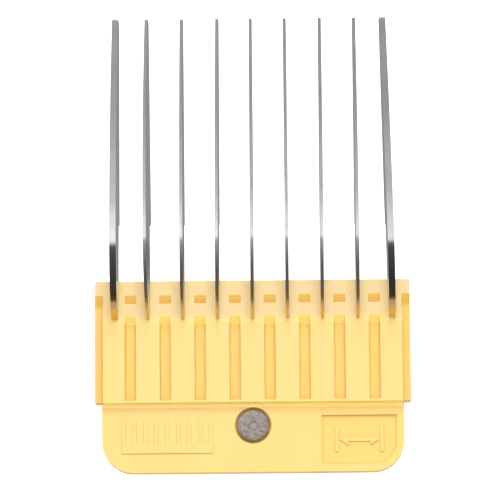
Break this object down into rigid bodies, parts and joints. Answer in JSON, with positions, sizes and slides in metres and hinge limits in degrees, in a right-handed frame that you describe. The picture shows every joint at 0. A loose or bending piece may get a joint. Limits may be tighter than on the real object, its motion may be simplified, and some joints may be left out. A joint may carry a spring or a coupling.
{
  "type": "clipper guard comb",
  "caption": "Clipper guard comb: curved thin steel tines on edge in a moulded plastic body that snaps onto a detachable clipper blade and sets the hair length.",
  "frame": {"origin": "middle of the seat face that the clipper blade rests on, mid-width and midway along the side channels", "axes": "+X to the right, +Y along the tines to their tips, +Z out of the side that slides on the skin"},
  "size_m": [0.052, 0.0757, 0.0161],
  "materials": {
    "body_plastic": "moulded butter-yellow plastic, slightly translucent",
    "tine_steel": "polished stainless sheet with stamped edges",
    "rivet_steel": "dull scuffed steel",
    "clip_steel": "bright spring steel"
  },
  "bodies": {
    "body": {"body": "body_plastic", "tine_1": "tine_steel", "tine_2": "tine_steel", "tine_3": "tine_steel", "tine_4": "tine_steel", "tine_5": "tine_steel", "tine_6": "tine_steel", "tine_7": "tine_steel", "tine_8": "tine_steel", "tine_9": "tine_steel", "rivet": "rivet_steel", "clip_foot": "clip_steel", "clip_bend": "clip_steel"},
    "clip": {"clip_arm": "clip_steel"}
  },
  "joints": [
    {"name": "clip_flex", "type": "hinge", "parent": "body", "child": "clip", "pos_m": [0, -0.0189, -0.00025], "axis": [-1, 0, 0], "range_deg": [0, 12], "stiffness_Nm_per_rad": 0.6, "deforming": ["clip_bend"]}
  ]
}
